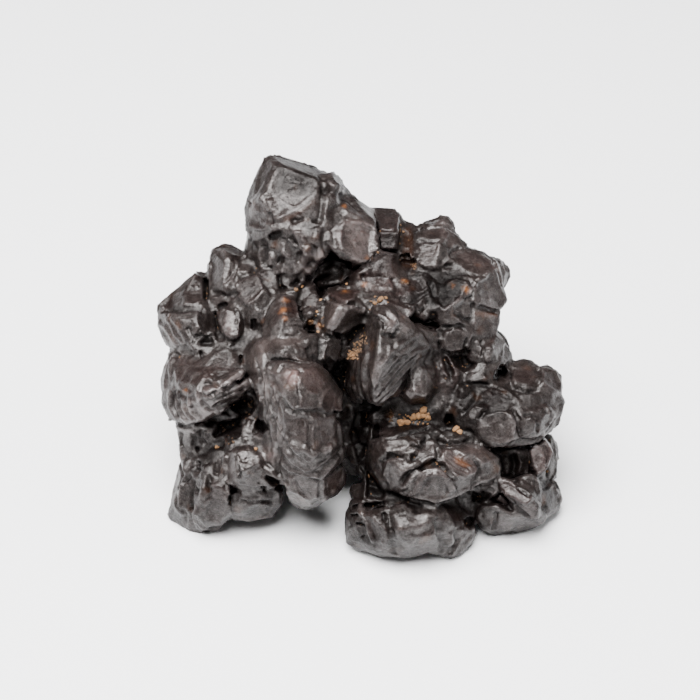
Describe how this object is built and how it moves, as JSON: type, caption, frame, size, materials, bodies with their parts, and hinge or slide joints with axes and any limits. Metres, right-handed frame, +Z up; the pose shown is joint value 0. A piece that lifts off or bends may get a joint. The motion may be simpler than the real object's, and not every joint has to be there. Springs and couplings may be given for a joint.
{
  "type": "limonite concretion",
  "caption": "Free-standing limonite concretion: a knobbly cluster of fused, dark brown, softly rounded crystals with stepped ledges, pits and black clefts.",
  "frame": {"origin": "on the table, under the middle of the stone's outline seen from above", "axes": "+X to the right of the side shown in the picture, +Y away from that side, +Z up"},
  "size_m": [0.082, 0.0678, 0.0614],
  "materials": {
    "limonite": "satin"
  },
  "bodies": {
    "root": {"limonite_concretion": "limonite"}
  },
  "joints": []
}
